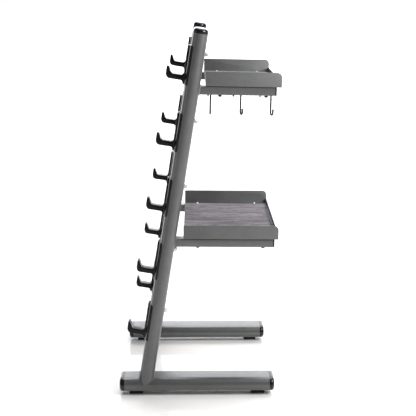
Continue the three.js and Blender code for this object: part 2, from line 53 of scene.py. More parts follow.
FOOT_LOW, FOOT_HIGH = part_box("foot_right")
SIDE_X = (FOOT_LOW.x + FOOT_HIGH.x) / 2
MID_Y = (FOOT_LOW.y + FOOT_HIGH.y) / 2
FOOT_MID_Z = (FOOT_LOW.z + FOOT_HIGH.z) / 2
FOOT_HALF = (FOOT_HIGH.y - FOOT_LOW.y) / 2
OVAL_WIDTH = FOOT_HIGH.x - FOOT_LOW.x
OVAL_RADIUS = (FOOT_HIGH.z - FOOT_LOW.z) / 2
OVAL_FLAT = OVAL_WIDTH - 2 * OVAL_RADIUS
PAD_LOW, PAD_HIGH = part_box("foot_pad_rear_right")

SIDES = {"right": 1, "left": -1}

# ---- the CAD source's driving dimensions, with finer ones for edges and mouldings --------

GAP = 0.0003
OVAL_WALL = 0.003
CAP_LENGTH = 0.0213
CAP_ROUND = 0.012
CAP_CROWN = 0.0015
CAP_PLUG = 0.012
CAP_SHOULDER = 0.0004
CAP_SEAM_GROOVE = 0.00035

PAD_CORNER = 0.006
PAD_CHAMFER = ((0.0016, 0.0), (0.0004, 0.0012), (0.0, 0.0024))
PAD_GROOVES = (0.0062, 0.0106)
PAD_GROOVE_DEPTH = 0.0012
PAD_GROOVE_HALF = 0.0010
PAD_GROOVE_FLOOR = 0.0004
PAD_TOP_EDGE = 0.0008

LEAN = math.radians(9.14)
UPRIGHT_BASE_Y = -0.2245
UPRIGHT_TOP = 1.524

HOOK_COUNT = 5
HOOK_TOP_TIP = 1.3794
HOOK_SPACING = 0.2683
BRACKET_ABOVE_TIP = 0.093
BRACKET_BELOW_TIP = 0.062
BRACKET_FACE = 0.041
BRACKET_RETURN = 0.022
BRACKET_SHELL = 0.003
BRACKET_CORNER = 0.006
BRACKET_EDGE = 0.0004
SHELL_TRIM = 0.0016
PLATE_WIDTH = 0.044
PLATE_CORNER = 0.008
PLATE_EDGE = 0.002
PLATE_ROOT = 0.0313
HOOK_WIDTH = 0.040
HOOK_REACH = 0.1117
HOOK_CRADLE_END = 0.090
HOOK_TIP_LEAN = 0.012
HOOK_TIP_RISE = 0.0265
HOOK_THICKNESS = 0.0213
HOOK_TOP_FILLET = 0.011
HOOK_LOWER_FILLET = 0.010
HOOK_TIP_CORNER = 0.0024
HOOK_HEEL = 0.018
HOOK_HEEL_DROP = 0.0144
HOOK_EDGE = 0.0022
HOOK_ROOT = 0.007
BRACKET_BOLT_ABOVE_TIP = 0.067
RECESS_RADIUS = 0.0095
RECESS_DEPTH = 0.006

BRACKET_BOLT = {
    "radius": 0.005,
    "head_radius": 0.0085,
    "head_height": 0.0053,
    "washer_radius": 0.010,
    "washer_height": 0.002,
    "nut_across": 0.016,
    "nut_height": 0.0085,
    "end": 0.003,
    "pitch": 0.0015,
    "socket_across": 0.006,
}
TRAY_BOLT = {
    "radius": 0.004,
    "head_radius": 0.007,
    "head_height": 0.0044,
    "washer_radius": 0.008,
    "washer_height": 0.0016,
    "nut_across": 0.013,
    "nut_height": 0.0065,
    "end": 0.0015,
    "pitch": 0.00125,
    "socket_across": 0.005,
}

ARM_WIDTH = 0.050
ARM_HEIGHT = 0.034
ARM_WALL = 0.0025
ARM_CORNER = 0.004
ARM_END_Y = 0.313
PLUG_FLANGE = 0.0062
PLUG_EDGE = 0.0012
PLUG_DEPTH = 0.018
PLUG_RIBS = 3
PLUG_RIB_PITCH = 0.005
PLUG_RIB_HEIGHT = 0.0006

TRAY_WIDTH = 0.698
SHEET = 0.0025
BEND = 0.004
SIDE_LIP = 0.058
REAR_LIP = 0.022
LIP_CORNER = 0.019
FRONT_CORNER = 0.004
CORNER_SLIT = 0.0015
SHEET_EDGE = 0.0005
MAT_WIDTH = 0.596
MAT_THICKNESS = 0.004
MAT_INSET = 0.005
MAT_RIB_PITCH = 0.004
MAT_RIB_HEIGHT = 0.0009

TIERS = {
    "lower": {"top": 0.676, "slope": 0.5, "front": -0.054, "rear": 0.334, "bolts": (0.005, 0.274)},
    "upper": {"top": 1.2998, "slope": 1.2, "front": 0.037, "rear": 0.338, "bolts": (0.095, 0.279)},
}

WIRE_RADIUS = 0.0035
WIRE_DROP = 0.080
WIRE_BEND = 0.011
WIRE_TIP = 0.013
WIRE_TIP_ROUND = 0.0015
SWIVEL_HEAD_RADIUS = 0.0065
SWIVEL_COLLAR_HEIGHT = 0.002
SWIVEL_Y = (0.0575, 0.178, 0.2985)
SWIVEL_TURN = {"right": (0, 18, 21), "left": (4, -12, 8)}

CROSS_TUBES = {"upper": 1.442, "lower": 0.205}

WELD_RADIUS = 0.0026
WELD_RIPPLE = 0.14
WELD_PITCH = 0.0042
WELD_GROWTH = 0.001
WELD_LIFT = 0.0004
FOOT_WELD_TUCK = (0.945, 1.02)
FOOT_WELD_LIFT = 0.0006

CAMERA_PLACE = (4.156, -0.011, 1.683)
CAMERA_YAW = math.radians(0.778)
CAMERA_PITCH = math.radians(12.947)
CAMERA_LENS = 83.46

# ---- frames of reference -----------------------------------------------------------------


def upright_frame(x):
    """z along the upright's axis from the floor line, -y out of its front face."""
    return Matrix.Translation((x, MID_Y + UPRIGHT_BASE_Y, 0)) @ Matrix.Rotation(-LEAN, 4, "X")


def tier_frame(tier, x=0.0):
    """y to the rear along a tier's arms, z = 0 on the arms' top faces."""
    slope = math.radians(tier["slope"])
    return Matrix.Translation((x, MID_Y, tier["top"])) @ Matrix.Rotation(-slope, 4, "X")


def hook_tip(number):
    return HOOK_TOP_TIP - (number - 1) * HOOK_SPACING


# ---- outlines ----------------------------------------------------------------------------


def arc(cx, cy, radius, start, stop, steps=8):
    angles = [start + (stop - start) * i / steps for i in range(steps + 1)]
    return [(cx + radius * math.cos(a), cy + radius * math.sin(a)) for a in angles]


def quadratic(start, handle, stop, steps=6):
    points = []
    for i in range(1, steps + 1):
        t = i / steps
        a, b, c = (1 - t) ** 2, 2 * t * (1 - t), t * t
        points.append(tuple(a * s + b * h + c * e for s, h, e in zip(start, handle, stop)))
    return points


def oval(inset=0.0, steps=24):
    radius = OVAL_RADIUS - inset
    half = OVAL_FLAT / 2
    quarter = math.pi / 2
    right = arc(half, 0, radius, -quarter, quarter, steps)
    return right + arc(-half, 0, radius, quarter, 3 * quarter, steps)


def rounded_box(width, height, corner, inset=0.0, steps=5):
    radius = max(corner - inset, 0.0002)
    x = width / 2 - inset - radius
    y = height / 2 - inset - radius
    quarter = math.pi / 2
    points = []
    for i, (cx, cy) in enumerate(((x, -y), (x, y), (-x, y), (-x, -y))):
        points += arc(cx, cy, radius, (i - 1) * quarter, i * quarter, steps)
    return points


def circle(radius, steps=32):
    return arc(0, 0, radius, 0, 2 * math.pi, steps)[:-1]


def hexagon_cut(across, limit, steps=48):
    """A hexagon's outline kept inside a circle, as a nut's chamfer leaves it."""
    points = []
    for i in range(steps):
        angle = 2 * math.pi * i / steps
        sector = (angle + math.pi / 6) % (math.pi / 3) - math.pi / 6
        radius = min(across / 2 / math.cos(sector), limit)
        points.append((radius * math.cos(angle), radius * math.sin(angle)))
    return points


def offset(points, distance):
    """A closed outline moved inwards by a distance, for one that runs anticlockwise."""
    moved = []
    count = len(points)
    for i, point in enumerate(points):
        here = Vector(point)
        before = (here - Vector(points[i - 1])).normalized()
        after = (Vector(points[(i + 1) % count]) - here).normalized()
        normals = [Vector((-d.y, d.x)) for d in (before, after)]
        middle = (normals[0] + normals[1]).normalized()
        moved.append(tuple(here + middle * distance / max(middle.dot(normals[0]), 0.5)))
    return moved


def area(points):
    pairs = zip(points, points[1:] + points[:1])
    return sum(a[0] * b[1] - b[0] * a[1] for a, b in pairs) / 2


def anticlockwise(points):
    return points if area(points) > 0 else points[::-1]


# ---- meshes ------------------------------------------------------------------------------

SMOOTH_ANGLE = math.radians(32)
MERGE = 0.00002


def finish_mesh(mesh, smooth=SMOOTH_ANGLE):
    """Faces point outwards and shade smoothly, except across sharp edges."""
    work = bmesh.new()
    work.from_mesh(mesh)
    bmesh.ops.remove_doubles(work, verts=work.verts, dist=MERGE)
    bmesh.ops.recalc_face_normals(work, faces=work.faces)
    work.to_mesh(mesh)
    work.free()
    mesh.materials.clear()
    mesh.polygons.foreach_set("material_index", [0] * len(mesh.polygons))
    mesh.shade_smooth()
    mesh.set_sharp_from_angle(angle=smooth)
    return mesh


def skin(name, rings, wrap=False):
    """Mesh through rings of equal point count: its ends are capped, or its last ring meets its first."""
    count = len(rings[0])
    vertices = [tuple(point) for ring in rings for point in ring]
    faces = []
    for r in range(len(rings) if wrap else len(rings) - 1):
        here = r * count
        there = ((r + 1) % len(rings)) * count
        for i in range(count):
            j = (i + 1) % count
            faces.append((here + i, here + j, there + j, there + i))
    if not wrap:
        faces.append(tuple(reversed(range(count))))
        faces.append(tuple(range(len(vertices) - count, len(vertices))))
    mesh = bpy.data.meshes.new(name)
    mesh.from_pydata(vertices, [], faces)
    return finish_mesh(mesh)


def levels(sections):
    """Rings in X and Y at the given heights."""
    return [[(x, y, z) for x, y in outline] for outline, z in sections]


def lathe(name, profile, steps=32):
    return skin(name, levels([(circle(radius, steps), z) for radius, z in profile]))


def rounded_slab(name, outline, low, high, edge, steps=4):
    """Prism of an outline in X and Y with rounded rims."""
    outline = anticlockwise(outline)
    sections = []
    for i in range(steps + 1):
        angle = math.pi / 2 * i / steps
        inset = edge * (1 - math.sin(angle))
        sections.append((offset(outline, inset), low + edge * (1 - math.cos(angle))))
    upper = [(points, high - (z - low)) for points, z in reversed(sections)]
    return skin(name, levels(sections + upper))


def sharp_slab(name, outline, low, high):
    return skin(name, levels([(outline, low), (outline, high)]))


# Turns that lay a prism drawn in X, Y along another axis: its X, Y, Z become the ones named.
YZX = Matrix(((0, 0, 1, 0), (1, 0, 0, 0), (0, 1, 0, 0), (0, 0, 0, 1)))
X_Z_Y = Matrix(((1, 0, 0, 0), (0, 0, -1, 0), (0, 1, 0, 0), (0, 0, 0, 1)))


def turned(mesh, matrix):
    mesh.transform(matrix)
    return mesh


def combined(first, *steps):
    """A mesh joined with, cut by or cropped to others, in order; each step is (operation, mesh)."""
    base = bpy.data.objects.new("work", first)
    bpy.context.scene.collection.objects.link(base)
    others = []
    for operation, mesh in steps:
        other = bpy.data.objects.new("work_other", mesh)
        bpy.context.scene.collection.objects.link(other)
        modifier = base.modifiers.new("combine", "BOOLEAN")
        modifier.operation = operation
        modifier.solver = "MANIFOLD"
        modifier.object = other
        others.append(other)
    bpy.context.view_layer.update()
    evaluated = base.evaluated_get(bpy.context.evaluated_depsgraph_get())
    result = bpy.data.meshes.new_from_object(evaluated)
    for item in [base, *others]:
        bpy.data.objects.remove(item)
    result.name = first.name
    return finish_mesh(result)


def bevelled(mesh, width, segments=2, angle=40):
    """The mesh with every edge sharper than an angle rounded off."""
    base = bpy.data.objects.new("work", mesh)
    bpy.context.scene.collection.objects.link(base)
    modifier = base.modifiers.new("bevel", "BEVEL")
    modifier.width = width
    modifier.segments = segments
    modifier.limit_method = "ANGLE"
    modifier.angle_limit = math.radians(angle)
    modifier.use_clamp_overlap = False
    bpy.context.view_layer.update()
    evaluated = base.evaluated_get(bpy.context.evaluated_depsgraph_get())
    result = bpy.data.meshes.new_from_object(evaluated)
    bpy.data.objects.remove(base)
    result.name = mesh.name
    return finish_mesh(result)


def spaced(points, spacing):
    """A closed line of points, resampled at an even spacing."""
    corners = [Vector(p) for p in points]
    corners.append(corners[0])
    lengths = [0.0]
    for a, b in zip(corners, corners[1:]):
        lengths.append(lengths[-1] + (b - a).length)
    count = max(8, round(lengths[-1] / spacing))
    result = []
    k = 0
    for i in range(count):
        along = lengths[-1] * i / count
        while lengths[k + 1] < along:
            k += 1
        share = (along - lengths[k]) / (lengths[k + 1] - lengths[k])
        result.append(corners[k].lerp(corners[k + 1], share))
    return result


def weld_bead(name, line, radius=WELD_RADIUS, sides=8):
    """Rippled bead round a closed line."""
    points = spaced(line, WELD_PITCH / 5)
    centre = sum(points, Vector()) / len(points)
    rings = []
    for i, point in enumerate(points):
        along = (points[(i + 1) % len(points)] - points[i - 1]).normalized()
        out = point - centre
        out = (out - along * out.dot(along)).normalized()
        across = along.cross(out)
        ripple = math.sin(2 * math.pi * i / 5) + 0.6 * math.sin(0.37 * i)
        reach = radius * (1 + WELD_RIPPLE * ripple)
        ring = []
        for side in range(sides):
            angle = 2 * math.pi * side / sides
            ring.append(point + (out * math.cos(angle) + across * math.sin(angle)) * reach)
        rings.append(ring)
    return skin(name, rings, wrap=True)


# ---- material nodes ----------------------------------------------------------------------


RANGE_SOCKETS = ("From Min", "From Max", "To Min", "To Max")


def map_range(tree, value, numbers, interpolation="LINEAR"):
    """An output moved from one range to another; numbers are both ends of each, in order."""
    node = tree.nodes.new("ShaderNodeMapRange")
    node.interpolation_type = interpolation
    for socket, number in zip(RANGE_SOCKETS, numbers):
        node.inputs[socket].default_value = number
    tree.links.new(value, node.inputs["Value"])
    return node.outputs["Result"]


def scaled(colour, factor):
    return tuple(factor * channel for channel in colour)


class Finish:
    """A procedural material under construction, on object coordinates in metres."""

    def __init__(self, name):
        self.material = bpy.data.materials.new(name)
        self.material.use_nodes = True
        self.tree = self.material.node_tree
        self.shader = self.tree.nodes["Principled BSDF"]
        self.place = self.tree.nodes.new("ShaderNodeTexCoord").outputs["Object"]

    def set(self, **values):
        for key, value in values.items():
            socket = key.replace("_", " ").title().replace("Ior", "IOR")
            self.shader.inputs[socket].default_value = value

    def link(self, source, target):
        self.tree.links.new(source, target)

    def stretched(self, scale):
        mapping = self.tree.nodes.new("ShaderNodeMapping")
        mapping.inputs["Scale"].default_value = scale
        self.link(self.place, mapping.inputs["Vector"])
        return mapping.outputs["Vector"]

    def noise(self, scale, detail=2.0, roughness=0.5, stretch=None, distortion=0.0):
        """Noise with a given number of features to the metre, from 0 to 1."""
        node = self.tree.nodes.new("ShaderNodeTexNoise")
        node.inputs["Scale"].default_value = scale
        node.inputs["Detail"].default_value = detail
        node.inputs["Roughness"].default_value = roughness
        node.inputs["Distortion"].default_value = distortion
        self.link(self.stretched(stretch) if stretch else self.place, node.inputs["Vector"])
        return node.outputs["Fac"]

    def cells(self, scale, stretch=None):
        node = self.tree.nodes.new("ShaderNodeTexVoronoi")
        node.inputs["Scale"].default_value = scale
        self.link(self.stretched(stretch) if stretch else self.place, node.inputs["Vector"])
        return node.outputs["Distance"]

    def ranged(self, value, low, high, to_low=0.0, to_high=1.0):
        return map_range(self.tree, value, (low, high, to_low, to_high))

    def maths(self, operation, first, second):
        node = self.tree.nodes.new("ShaderNodeMath")
        node.operation = operation
        for socket, value in zip(node.inputs, (first, second)):
            if isinstance(value, (int, float)):
                socket.default_value = value
            else:
                self.link(value, socket)
        return node.outputs["Value"]

    def mixed(self, factor, first, second):
        """Colour between two others, each a colour or an output."""
        node = self.tree.nodes.new("ShaderNodeMix")
        node.data_type = "RGBA"
        self.link(factor, node.inputs["Factor"])
        for socket, value in zip((node.inputs[6], node.inputs[7]), (first, second)):
            if isinstance(value, tuple):
                socket.default_value = (*value, 1.0)
            else:
                self.link(value, socket)
        return node.outputs[2]

    def colour(self, output):
        self.link(output, self.shader.inputs["Base Color"])

    def rough(self, output):
        self.link(output, self.shader.inputs["Roughness"])

    def bump(self, *layers):
        """Bump from layers of (height output, depth in metres)."""
        normal = None
        for height, depth in layers:
            node = self.tree.nodes.new("ShaderNodeBump")
            node.inputs["Strength"].default_value = 1.0
            node.inputs["Distance"].default_value = depth
            self.link(height, node.inputs["Height"])
            if normal is not None:
                self.link(normal, node.inputs["Normal"])
            normal = node.outputs["Normal"]
        self.link(normal, self.shader.inputs["Normal"])


def powder_coat(name, dark, light, rough_low, rough_high, coat):
    """Satin powder coat: orange peel, fine metallic speckle, faint clouding and light rubbing."""
    finish = Finish(name)
    finish.set(metallic=0.35, ior=1.6, coat_weight=coat, coat_roughness=0.28)
    clouds = finish.noise(9, detail=4, roughness=0.6)
    grain = finish.noise(330, detail=3, roughness=0.7)
    speckle = finish.noise(2600, detail=1)
    cloudy = finish.ranged(clouds, 0.3, 0.7, 0.0, 0.35)
    grainy = finish.ranged(grain, 0.36, 0.64, 0.0, 0.65)
    shade = finish.mixed(finish.maths("ADD", cloudy, grainy), dark, light)
    flakes = finish.ranged(speckle, 0.62, 0.78, 0.0, 0.35)
    flaked = finish.mixed(flakes, shade, scaled(light, 2.2))
    streaks = finish.noise(70, detail=3, stretch=(1.0, 0.12, 0.12))
    rubbed = finish.ranged(streaks, 0.66, 0.8, 0.0, 0.3)
    finish.colour(finish.mixed(rubbed, flaked, scaled(light, 1.7)))
    patches = finish.noise(45, detail=4)
    finish.rough(finish.ranged(patches, 0.3, 0.7, rough_low, rough_high))
    finish.bump((grain, 0.00012), (finish.noise(1500, detail=1), 0.00002))
    return finish.material


def moulded(name, colour, rough_low, rough_high, grain, coat):
    """Black moulded plastic: fine grain, faint flow clouding and handling marks."""
    finish = Finish(name)
    finish.set(ior=1.26, coat_weight=coat, coat_roughness=0.04)
    clouds = finish.noise(25, detail=3)
    finish.colour(finish.mixed(finish.ranged(clouds, 0.35, 0.7), colour, scaled(colour, 1.8)))
    marks = finish.noise(120, detail=4, roughness=0.65, distortion=0.4)
    finish.rough(finish.ranged(marks, 0.35, 0.7, rough_low, rough_high))
    finish.bump((finish.noise(grain, detail=2), 0.00001), (finish.noise(160, detail=1), 0.00003))
    return finish.material


def pad_rubber(name):
    """Matt rubber with a dusty bloom."""
    finish = Finish(name)
    finish.set(ior=1.5, sheen_weight=0.15, sheen_roughness=0.6)
    bloom = finish.noise(90, detail=5, roughness=0.65)
    clean = (0.008, 0.008, 0.008)
    dusty = (0.035, 0.034, 0.032)
    finish.colour(finish.mixed(finish.ranged(bloom, 0.45, 0.75), clean, dusty))
    finish.rough(finish.ranged(bloom, 0.3, 0.7, 0.62, 0.85))
    finish.bump((finish.noise(1100, detail=3), 0.00012), (finish.cells(700), 0.00005))
    return finish.material


def streaked_mat(name):
    """Ribbed rubber mat with a streaked grey and purple-grey print along its ribs."""
    finish = Finish(name)
    finish.set(ior=1.45, sheen_weight=0.1, sheen_roughness=0.5)
    broad = finish.noise(26, detail=5, roughness=0.62, stretch=(1.0, 0.16, 1.0), distortion=0.6)
    fine = finish.noise(190, detail=4, roughness=0.7, stretch=(1.0, 0.1, 1.0))
    fleck = finish.noise(900, detail=2, stretch=(1.0, 0.35, 1.0))
    medium = finish.noise(70, detail=3, roughness=0.7, stretch=(1.0, 0.3, 1.0))
    bands = finish.mixed(finish.ranged(broad, 0.4, 0.6), (0.085, 0.079, 0.088), (0.23, 0.212, 0.236))
    dark = finish.ranged(medium, 0.5, 0.6, 0.0, 0.75)
    streaked = finish.mixed(dark, bands, (0.055, 0.050, 0.058))
    lines = finish.ranged(fine, 0.4, 0.66, 0.0, 0.6)
    lined = finish.mixed(lines, streaked, (0.17, 0.15, 0.172))
    flecks = finish.ranged(fleck, 0.58, 0.72, 0.0, 0.55)
    finish.colour(finish.mixed(flecks, lined, (0.33, 0.31, 0.34)))
    finish.rough(finish.ranged(fine, 0.3, 0.7, 0.5, 0.75))
    finish.bump((fleck, 0.0002), (finish.noise(2400, detail=1), 0.00005))
    return finish.material


def zinc_plate(name):
    """Bright zinc: fine turning marks, faint clouding and passivation tint."""
    finish = Finish(name)
    finish.set(metallic=1.0)
    clouds = finish.noise(300, detail=4)
    clouded = finish.ranged(clouds, 0.3, 0.7)
    finish.colour(finish.mixed(clouded, (0.62, 0.63, 0.66), (0.82, 0.82, 0.80)))
    turning = finish.noise(900, detail=3, stretch=(1.0, 1.0, 6.0))
    finish.rough(finish.ranged(turning, 0.3, 0.7, 0.16, 0.34))
    finish.bump((turning, 0.00002), (finish.noise(2500, detail=1), 0.00001))
    return finish.material


def plated_wire(name):
    """Dark plated steel of the wire hooks: drawn marks and worn lighter specks. The tray bolts' washers
    and nuts wear it too, as painted shade for their place in the shadow under the arms.
    """
    finish = Finish(name)
    finish.set(metallic=0.2, ior=1.3)
    drawn = finish.noise(1400, detail=3, stretch=(1.0, 1.0, 0.08))
    worn = finish.noise(220, detail=5, roughness=0.7)
    base = finish.mixed(finish.ranged(drawn, 0.3, 0.7), (0.008, 0.008, 0.009), (0.02, 0.02, 0.022))
    finish.colour(finish.mixed(finish.ranged(worn, 0.66, 0.78, 0.0, 0.4), base, (0.2, 0.2, 0.2)))
    finish.rough(finish.ranged(drawn, 0.3, 0.7, 0.26, 0.44))
    finish.bump((drawn, 0.00003), (worn, 0.00002))
    return finish.material


FRAME_GREYS = ((0.062, 0.063, 0.063), (0.112, 0.114, 0.113))
TRAY_GREYS = ((0.075, 0.076, 0.076), (0.130, 0.132, 0.131))

LOOKS = {
    "frame_paint": powder_coat("frame_paint", *FRAME_GREYS, 0.30, 0.40, 0.35),
    "tray_paint": powder_coat("tray_paint", *TRAY_GREYS, 0.48, 0.58, 0.05),
    "cap_plastic": moulded("cap_plastic", (0.003, 0.003, 0.0035), 0.06, 0.12, 1300, 0.5),
    "bracket_plastic": moulded("bracket_plastic", (0.0016, 0.0016, 0.002), 0.16, 0.28, 900, 0.08),
    "pad_rubber": pad_rubber("pad_rubber"),
    "tray_mat": streaked_mat("tray_mat"),
    "zinc_fastener": zinc_plate("zinc_fastener"),
    "hook_wire": plated_wire("hook_wire"),
}


def piece(name, mesh, slot, place=None, body="rack", replaces=()):
    """A visible piece of a mesh that copies may share, riding on a body."""
    if not mesh.materials:
        mesh.materials.append(LOOKS[slot])
    item = bpy.data.objects.new(name, mesh)
    bpy.context.scene.collection.objects.link(item)
    item.matrix_world = place or Matrix.Identity(4)
    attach(item, body)
    if replaces:
        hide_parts(*replaces)
    return item


# ---- tubes, caps and pads ----------------------------------------------------------------

TUBE_EDGE = 0.0005


def foot_mesh():
    """Flat-oval tube along Z, its middle at the origin."""
    half = FOOT_HALF
    inner = OVAL_WALL
    sections = [
        (oval(TUBE_EDGE), -half),
        (oval(), -half + TUBE_EDGE),
        (oval(), half - TUBE_EDGE),
        (oval(TUBE_EDGE), half),
        (oval(inner), half),
        (oval(inner), -half),
    ]
    return skin("foot_tube", levels(sections), wrap=True)


def foot_top(x):
    """Height of the foot's upper surface at a distance from its middle."""
    beyond = max(abs(x) - OVAL_FLAT / 2, 0.0)
    return FOOT_MID_Z + math.sqrt(max(OVAL_RADIUS**2 - beyond**2, 0.0))


def saddle(outline, lift=GAP):
    """An outline in the upright's frame, dropped along its axis on to the foot."""
    ring = []
    for x, y in outline:
        height = (foot_top(x) + lift + y * math.sin(LEAN)) / math.cos(LEAN)
        ring.append((x, y, height))
    return ring


def upright_mesh():
    """Flat-oval tube, coped over the foot, with a slightly rounded top rim."""
    rims = [
        [(x, y, UPRIGHT_TOP - TUBE_EDGE) for x, y in oval()],
        [(x, y, UPRIGHT_TOP) for x, y in oval(TUBE_EDGE)],
        [(x, y, UPRIGHT_TOP) for x, y in oval(OVAL_WALL)],
    ]
    return skin("upright_tube", [saddle(oval()), *rims, saddle(oval(OVAL_WALL))], wrap=True)


def cap_mesh(steps=9):
    """Domed cap with its shoulder at z = GAP and its plug below, with a fine seam groove."""
    inner = OVAL_WALL + GAP
    shoulder = CAP_SHOULDER
    groove = CAP_SEAM_GROOVE
    dome = CAP_LENGTH - CAP_CROWN - CAP_ROUND
    seam = dome - 2 * groove
    sections = [
        (oval(inner + 0.001), -CAP_PLUG),
        (oval(inner), -CAP_PLUG + 0.001),
        (oval(inner), GAP),
        (oval(shoulder), GAP),
        (oval(), GAP + shoulder),
        (oval(), seam - groove),
        (oval(groove), seam),
        (oval(), seam + groove),
    ]
    for i in range(steps + 1):
        angle = math.pi / 2 * i / steps
        inset = CAP_ROUND * (1 - math.cos(angle))
        sections.append((oval(inset), dome + CAP_ROUND * math.sin(angle)))
    for share in (0.35, 0.7, 0.9):
        inset = CAP_ROUND + share * (OVAL_RADIUS - CAP_ROUND)
        sections.append((oval(inset), CAP_LENGTH - CAP_CROWN * (1 - share) ** 2))
    return skin("end_cap", levels(sections))


def pad_mesh():
    """Block of rubber with a chamfered foot and two moulded grooves round its sides."""
    width = PAD_HIGH.x - PAD_LOW.x
    length = PAD_HIGH.y - PAD_LOW.y
    height = PAD_HIGH.z - PAD_LOW.z
    profile = list(PAD_CHAMFER)
    for middle in PAD_GROOVES:
        profile += [
            (0.0, middle - PAD_GROOVE_HALF),
            (PAD_GROOVE_DEPTH, middle - PAD_GROOVE_FLOOR),
            (PAD_GROOVE_DEPTH, middle + PAD_GROOVE_FLOOR),
            (0.0, middle + PAD_GROOVE_HALF),
        ]
    profile += [(0.0, height - PAD_TOP_EDGE), (PAD_TOP_EDGE, height)]
    sections = [(rounded_box(width, length, PAD_CORNER, inset), z) for inset, z in profile]
    return skin("foot_pad", levels(sections))


def feet():
    tube, cap, pad = foot_mesh(), cap_mesh(), pad_mesh()
    for side, sign in SIDES.items():
        x = sign * SIDE_X
        middle = Matrix.Translation((x, MID_Y, FOOT_MID_Z))
        along = middle @ Matrix.Rotation(-math.pi / 2, 4, "X")
        piece(f"foot_tube_{side}", tube, "frame_paint", along, replaces=[f"foot_{side}"])
        for end, way in (("front", -1), ("rear", 1)):
            facing = Matrix.Rotation(-way * math.pi / 2, 4, "X")
            place = middle @ Matrix.Translation((0, way * FOOT_HALF, 0)) @ facing
            node = f"foot_cap_{end}_{side}"
            piece(f"{node}_moulding", cap, "cap_plastic", place, replaces=[node])
            node = f"foot_pad_{end}_{side}"
            low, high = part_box(node)
            under = Matrix.Translation(((low.x + high.x) / 2, (low.y + high.y) / 2, 0))
            piece(f"{node}_block", pad, "pad_rubber", under, replaces=[node])


def uprights():
    tube, cap = upright_mesh(), cap_mesh()
    tucked = [(x * FOOT_WELD_TUCK[0], y * FOOT_WELD_TUCK[1]) for x, y in oval()]
    bead = weld_bead("foot_weld", saddle(tucked, FOOT_WELD_LIFT))
    for side, sign in SIDES.items():
        place = upright_frame(sign * SIDE_X)
        top = place @ Matrix.Translation((0, 0, UPRIGHT_TOP))
        piece(f"upright_tube_{side}", tube, "frame_paint", place, replaces=[f"upright_{side}"])
        piece(f"upright_cap_{side}_moulding", cap, "cap_plastic", top, replaces=[f"upright_cap_{side}"])
        piece(f"foot_weld_{side}", bead, "frame_paint", place)


# ---- J-hook brackets ---------------------------------------------------------------------


def shell_section():
    """Section in X and Y of the shell that hugs the front of the upright."""
    half = OVAL_FLAT / 2
    inner = OVAL_RADIUS + GAP
    outer = inner + BRACKET_SHELL
    inner_angle = math.asin(BRACKET_RETURN / inner)
    outer_angle = math.asin(BRACKET_RETURN / outer)
    quarter = math.pi / 2
    points = arc(half, 0, outer, -outer_angle, -quarter, 14)
    points += arc(-half, 0, outer, -quarter, outer_angle - math.pi, 14)
    points += arc(-half, 0, inner, inner_angle - math.pi, -quarter, 12)
    points += arc(half, 0, inner, -quarter, -inner_angle, 12)
    return points


def hook_outline():
    """Side outline of the hook in Y and Z, with its tip's top at z = 0."""
    root = BRACKET_FACE - HOOK_ROOT
    floor = -HOOK_TIP_RISE
    under = floor - HOOK_THICKNESS
    heel_top = under + HOOK_HEEL_DROP
    inner = HOOK_CRADLE_END + HOOK_TIP_LEAN
    corner = HOOK_TIP_CORNER
    top = (BRACKET_FACE + HOOK_TOP_FILLET, floor + HOOK_TOP_FILLET)
    low = (BRACKET_FACE + HOOK_LOWER_FILLET, under - HOOK_LOWER_FILLET)
    quarter = math.pi / 2

    # The cradle's floor, from its fillet to where it curves up into the tip's leaning inner side.
    bend_start = (-(HOOK_CRADLE_END - 0.006), floor)
    bend_handle = (-(HOOK_CRADLE_END + 0.001), floor)
    bend_stop = (-(HOOK_CRADLE_END + 0.005), floor + 0.010)
    points = [(-root, top[1])]
    points += arc(-top[0], top[1], HOOK_TOP_FILLET, 0, -quarter, 8)
    points += [bend_start]
    points += quadratic(bend_start, bend_handle, bend_stop)

    points += arc(-inner - corner, -corner, corner, 0, quarter, 6)
    points += arc(-HOOK_REACH + corner, -corner, corner, quarter, 2 * quarter, 6)

    # The outer side, curving in two stretches round the heel to the underside.
    heel_start = (-HOOK_REACH, heel_top + 0.008)
    heel_handle = (-HOOK_REACH, heel_top - 0.001)
    heel_middle = (-(HOOK_REACH - 0.005), under + 0.006)
    sole_handle = (-(HOOK_REACH - 0.010), under)
    sole_start = (-(HOOK_REACH - HOOK_HEEL), under)
    points += quadratic(heel_start, heel_handle, heel_middle)
    points += quadratic(heel_middle, sole_handle, sole_start)

    points += arc(-low[0], low[1], HOOK_LOWER_FILLET, quarter, 0, 6)
    points += [(-root, low[1])]
    return points


def rod(name, radius, low, high, height):
    """Cylinder along Y at a height, as a cutter."""
    mesh = turned(sharp_slab(name, circle(radius), low, high), X_Z_Y)
    mesh.transform(Matrix.Translation((0, 0, height)))
    return mesh


